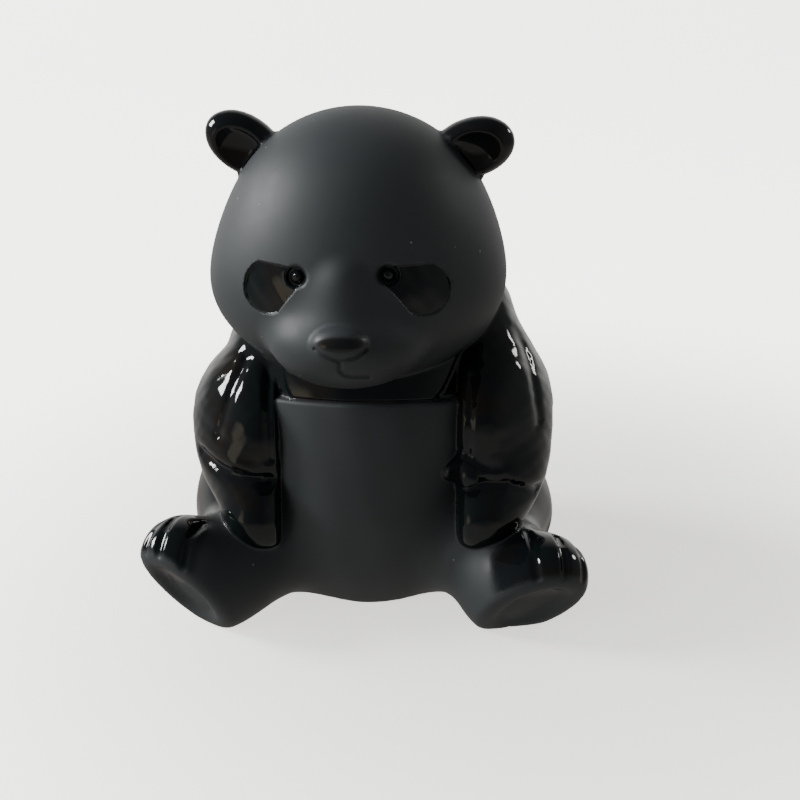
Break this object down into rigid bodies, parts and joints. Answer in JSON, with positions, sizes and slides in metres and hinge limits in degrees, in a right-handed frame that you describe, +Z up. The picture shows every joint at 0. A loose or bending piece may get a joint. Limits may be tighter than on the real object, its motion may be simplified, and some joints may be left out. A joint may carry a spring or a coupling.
{
  "type": "stone panda figurine",
  "caption": "Seated panda cub carved from black obsidian, part matte and part polished, standing on its own flat seat",
  "frame": {"origin": "on the ground under the middle of the carving's box", "axes": "+Z up, the panda faces -Y, +X at its left paw"},
  "size_m": [0.0782, 0.062, 0.0874],
  "materials": {
    "obsidian": "matte blasted head, belly, legs and soles; polished ears, eye patches, chest band, arms, shoulders and toes"
  },
  "bodies": {
    "root": {"panda_carving": "obsidian"}
  },
  "joints": []
}
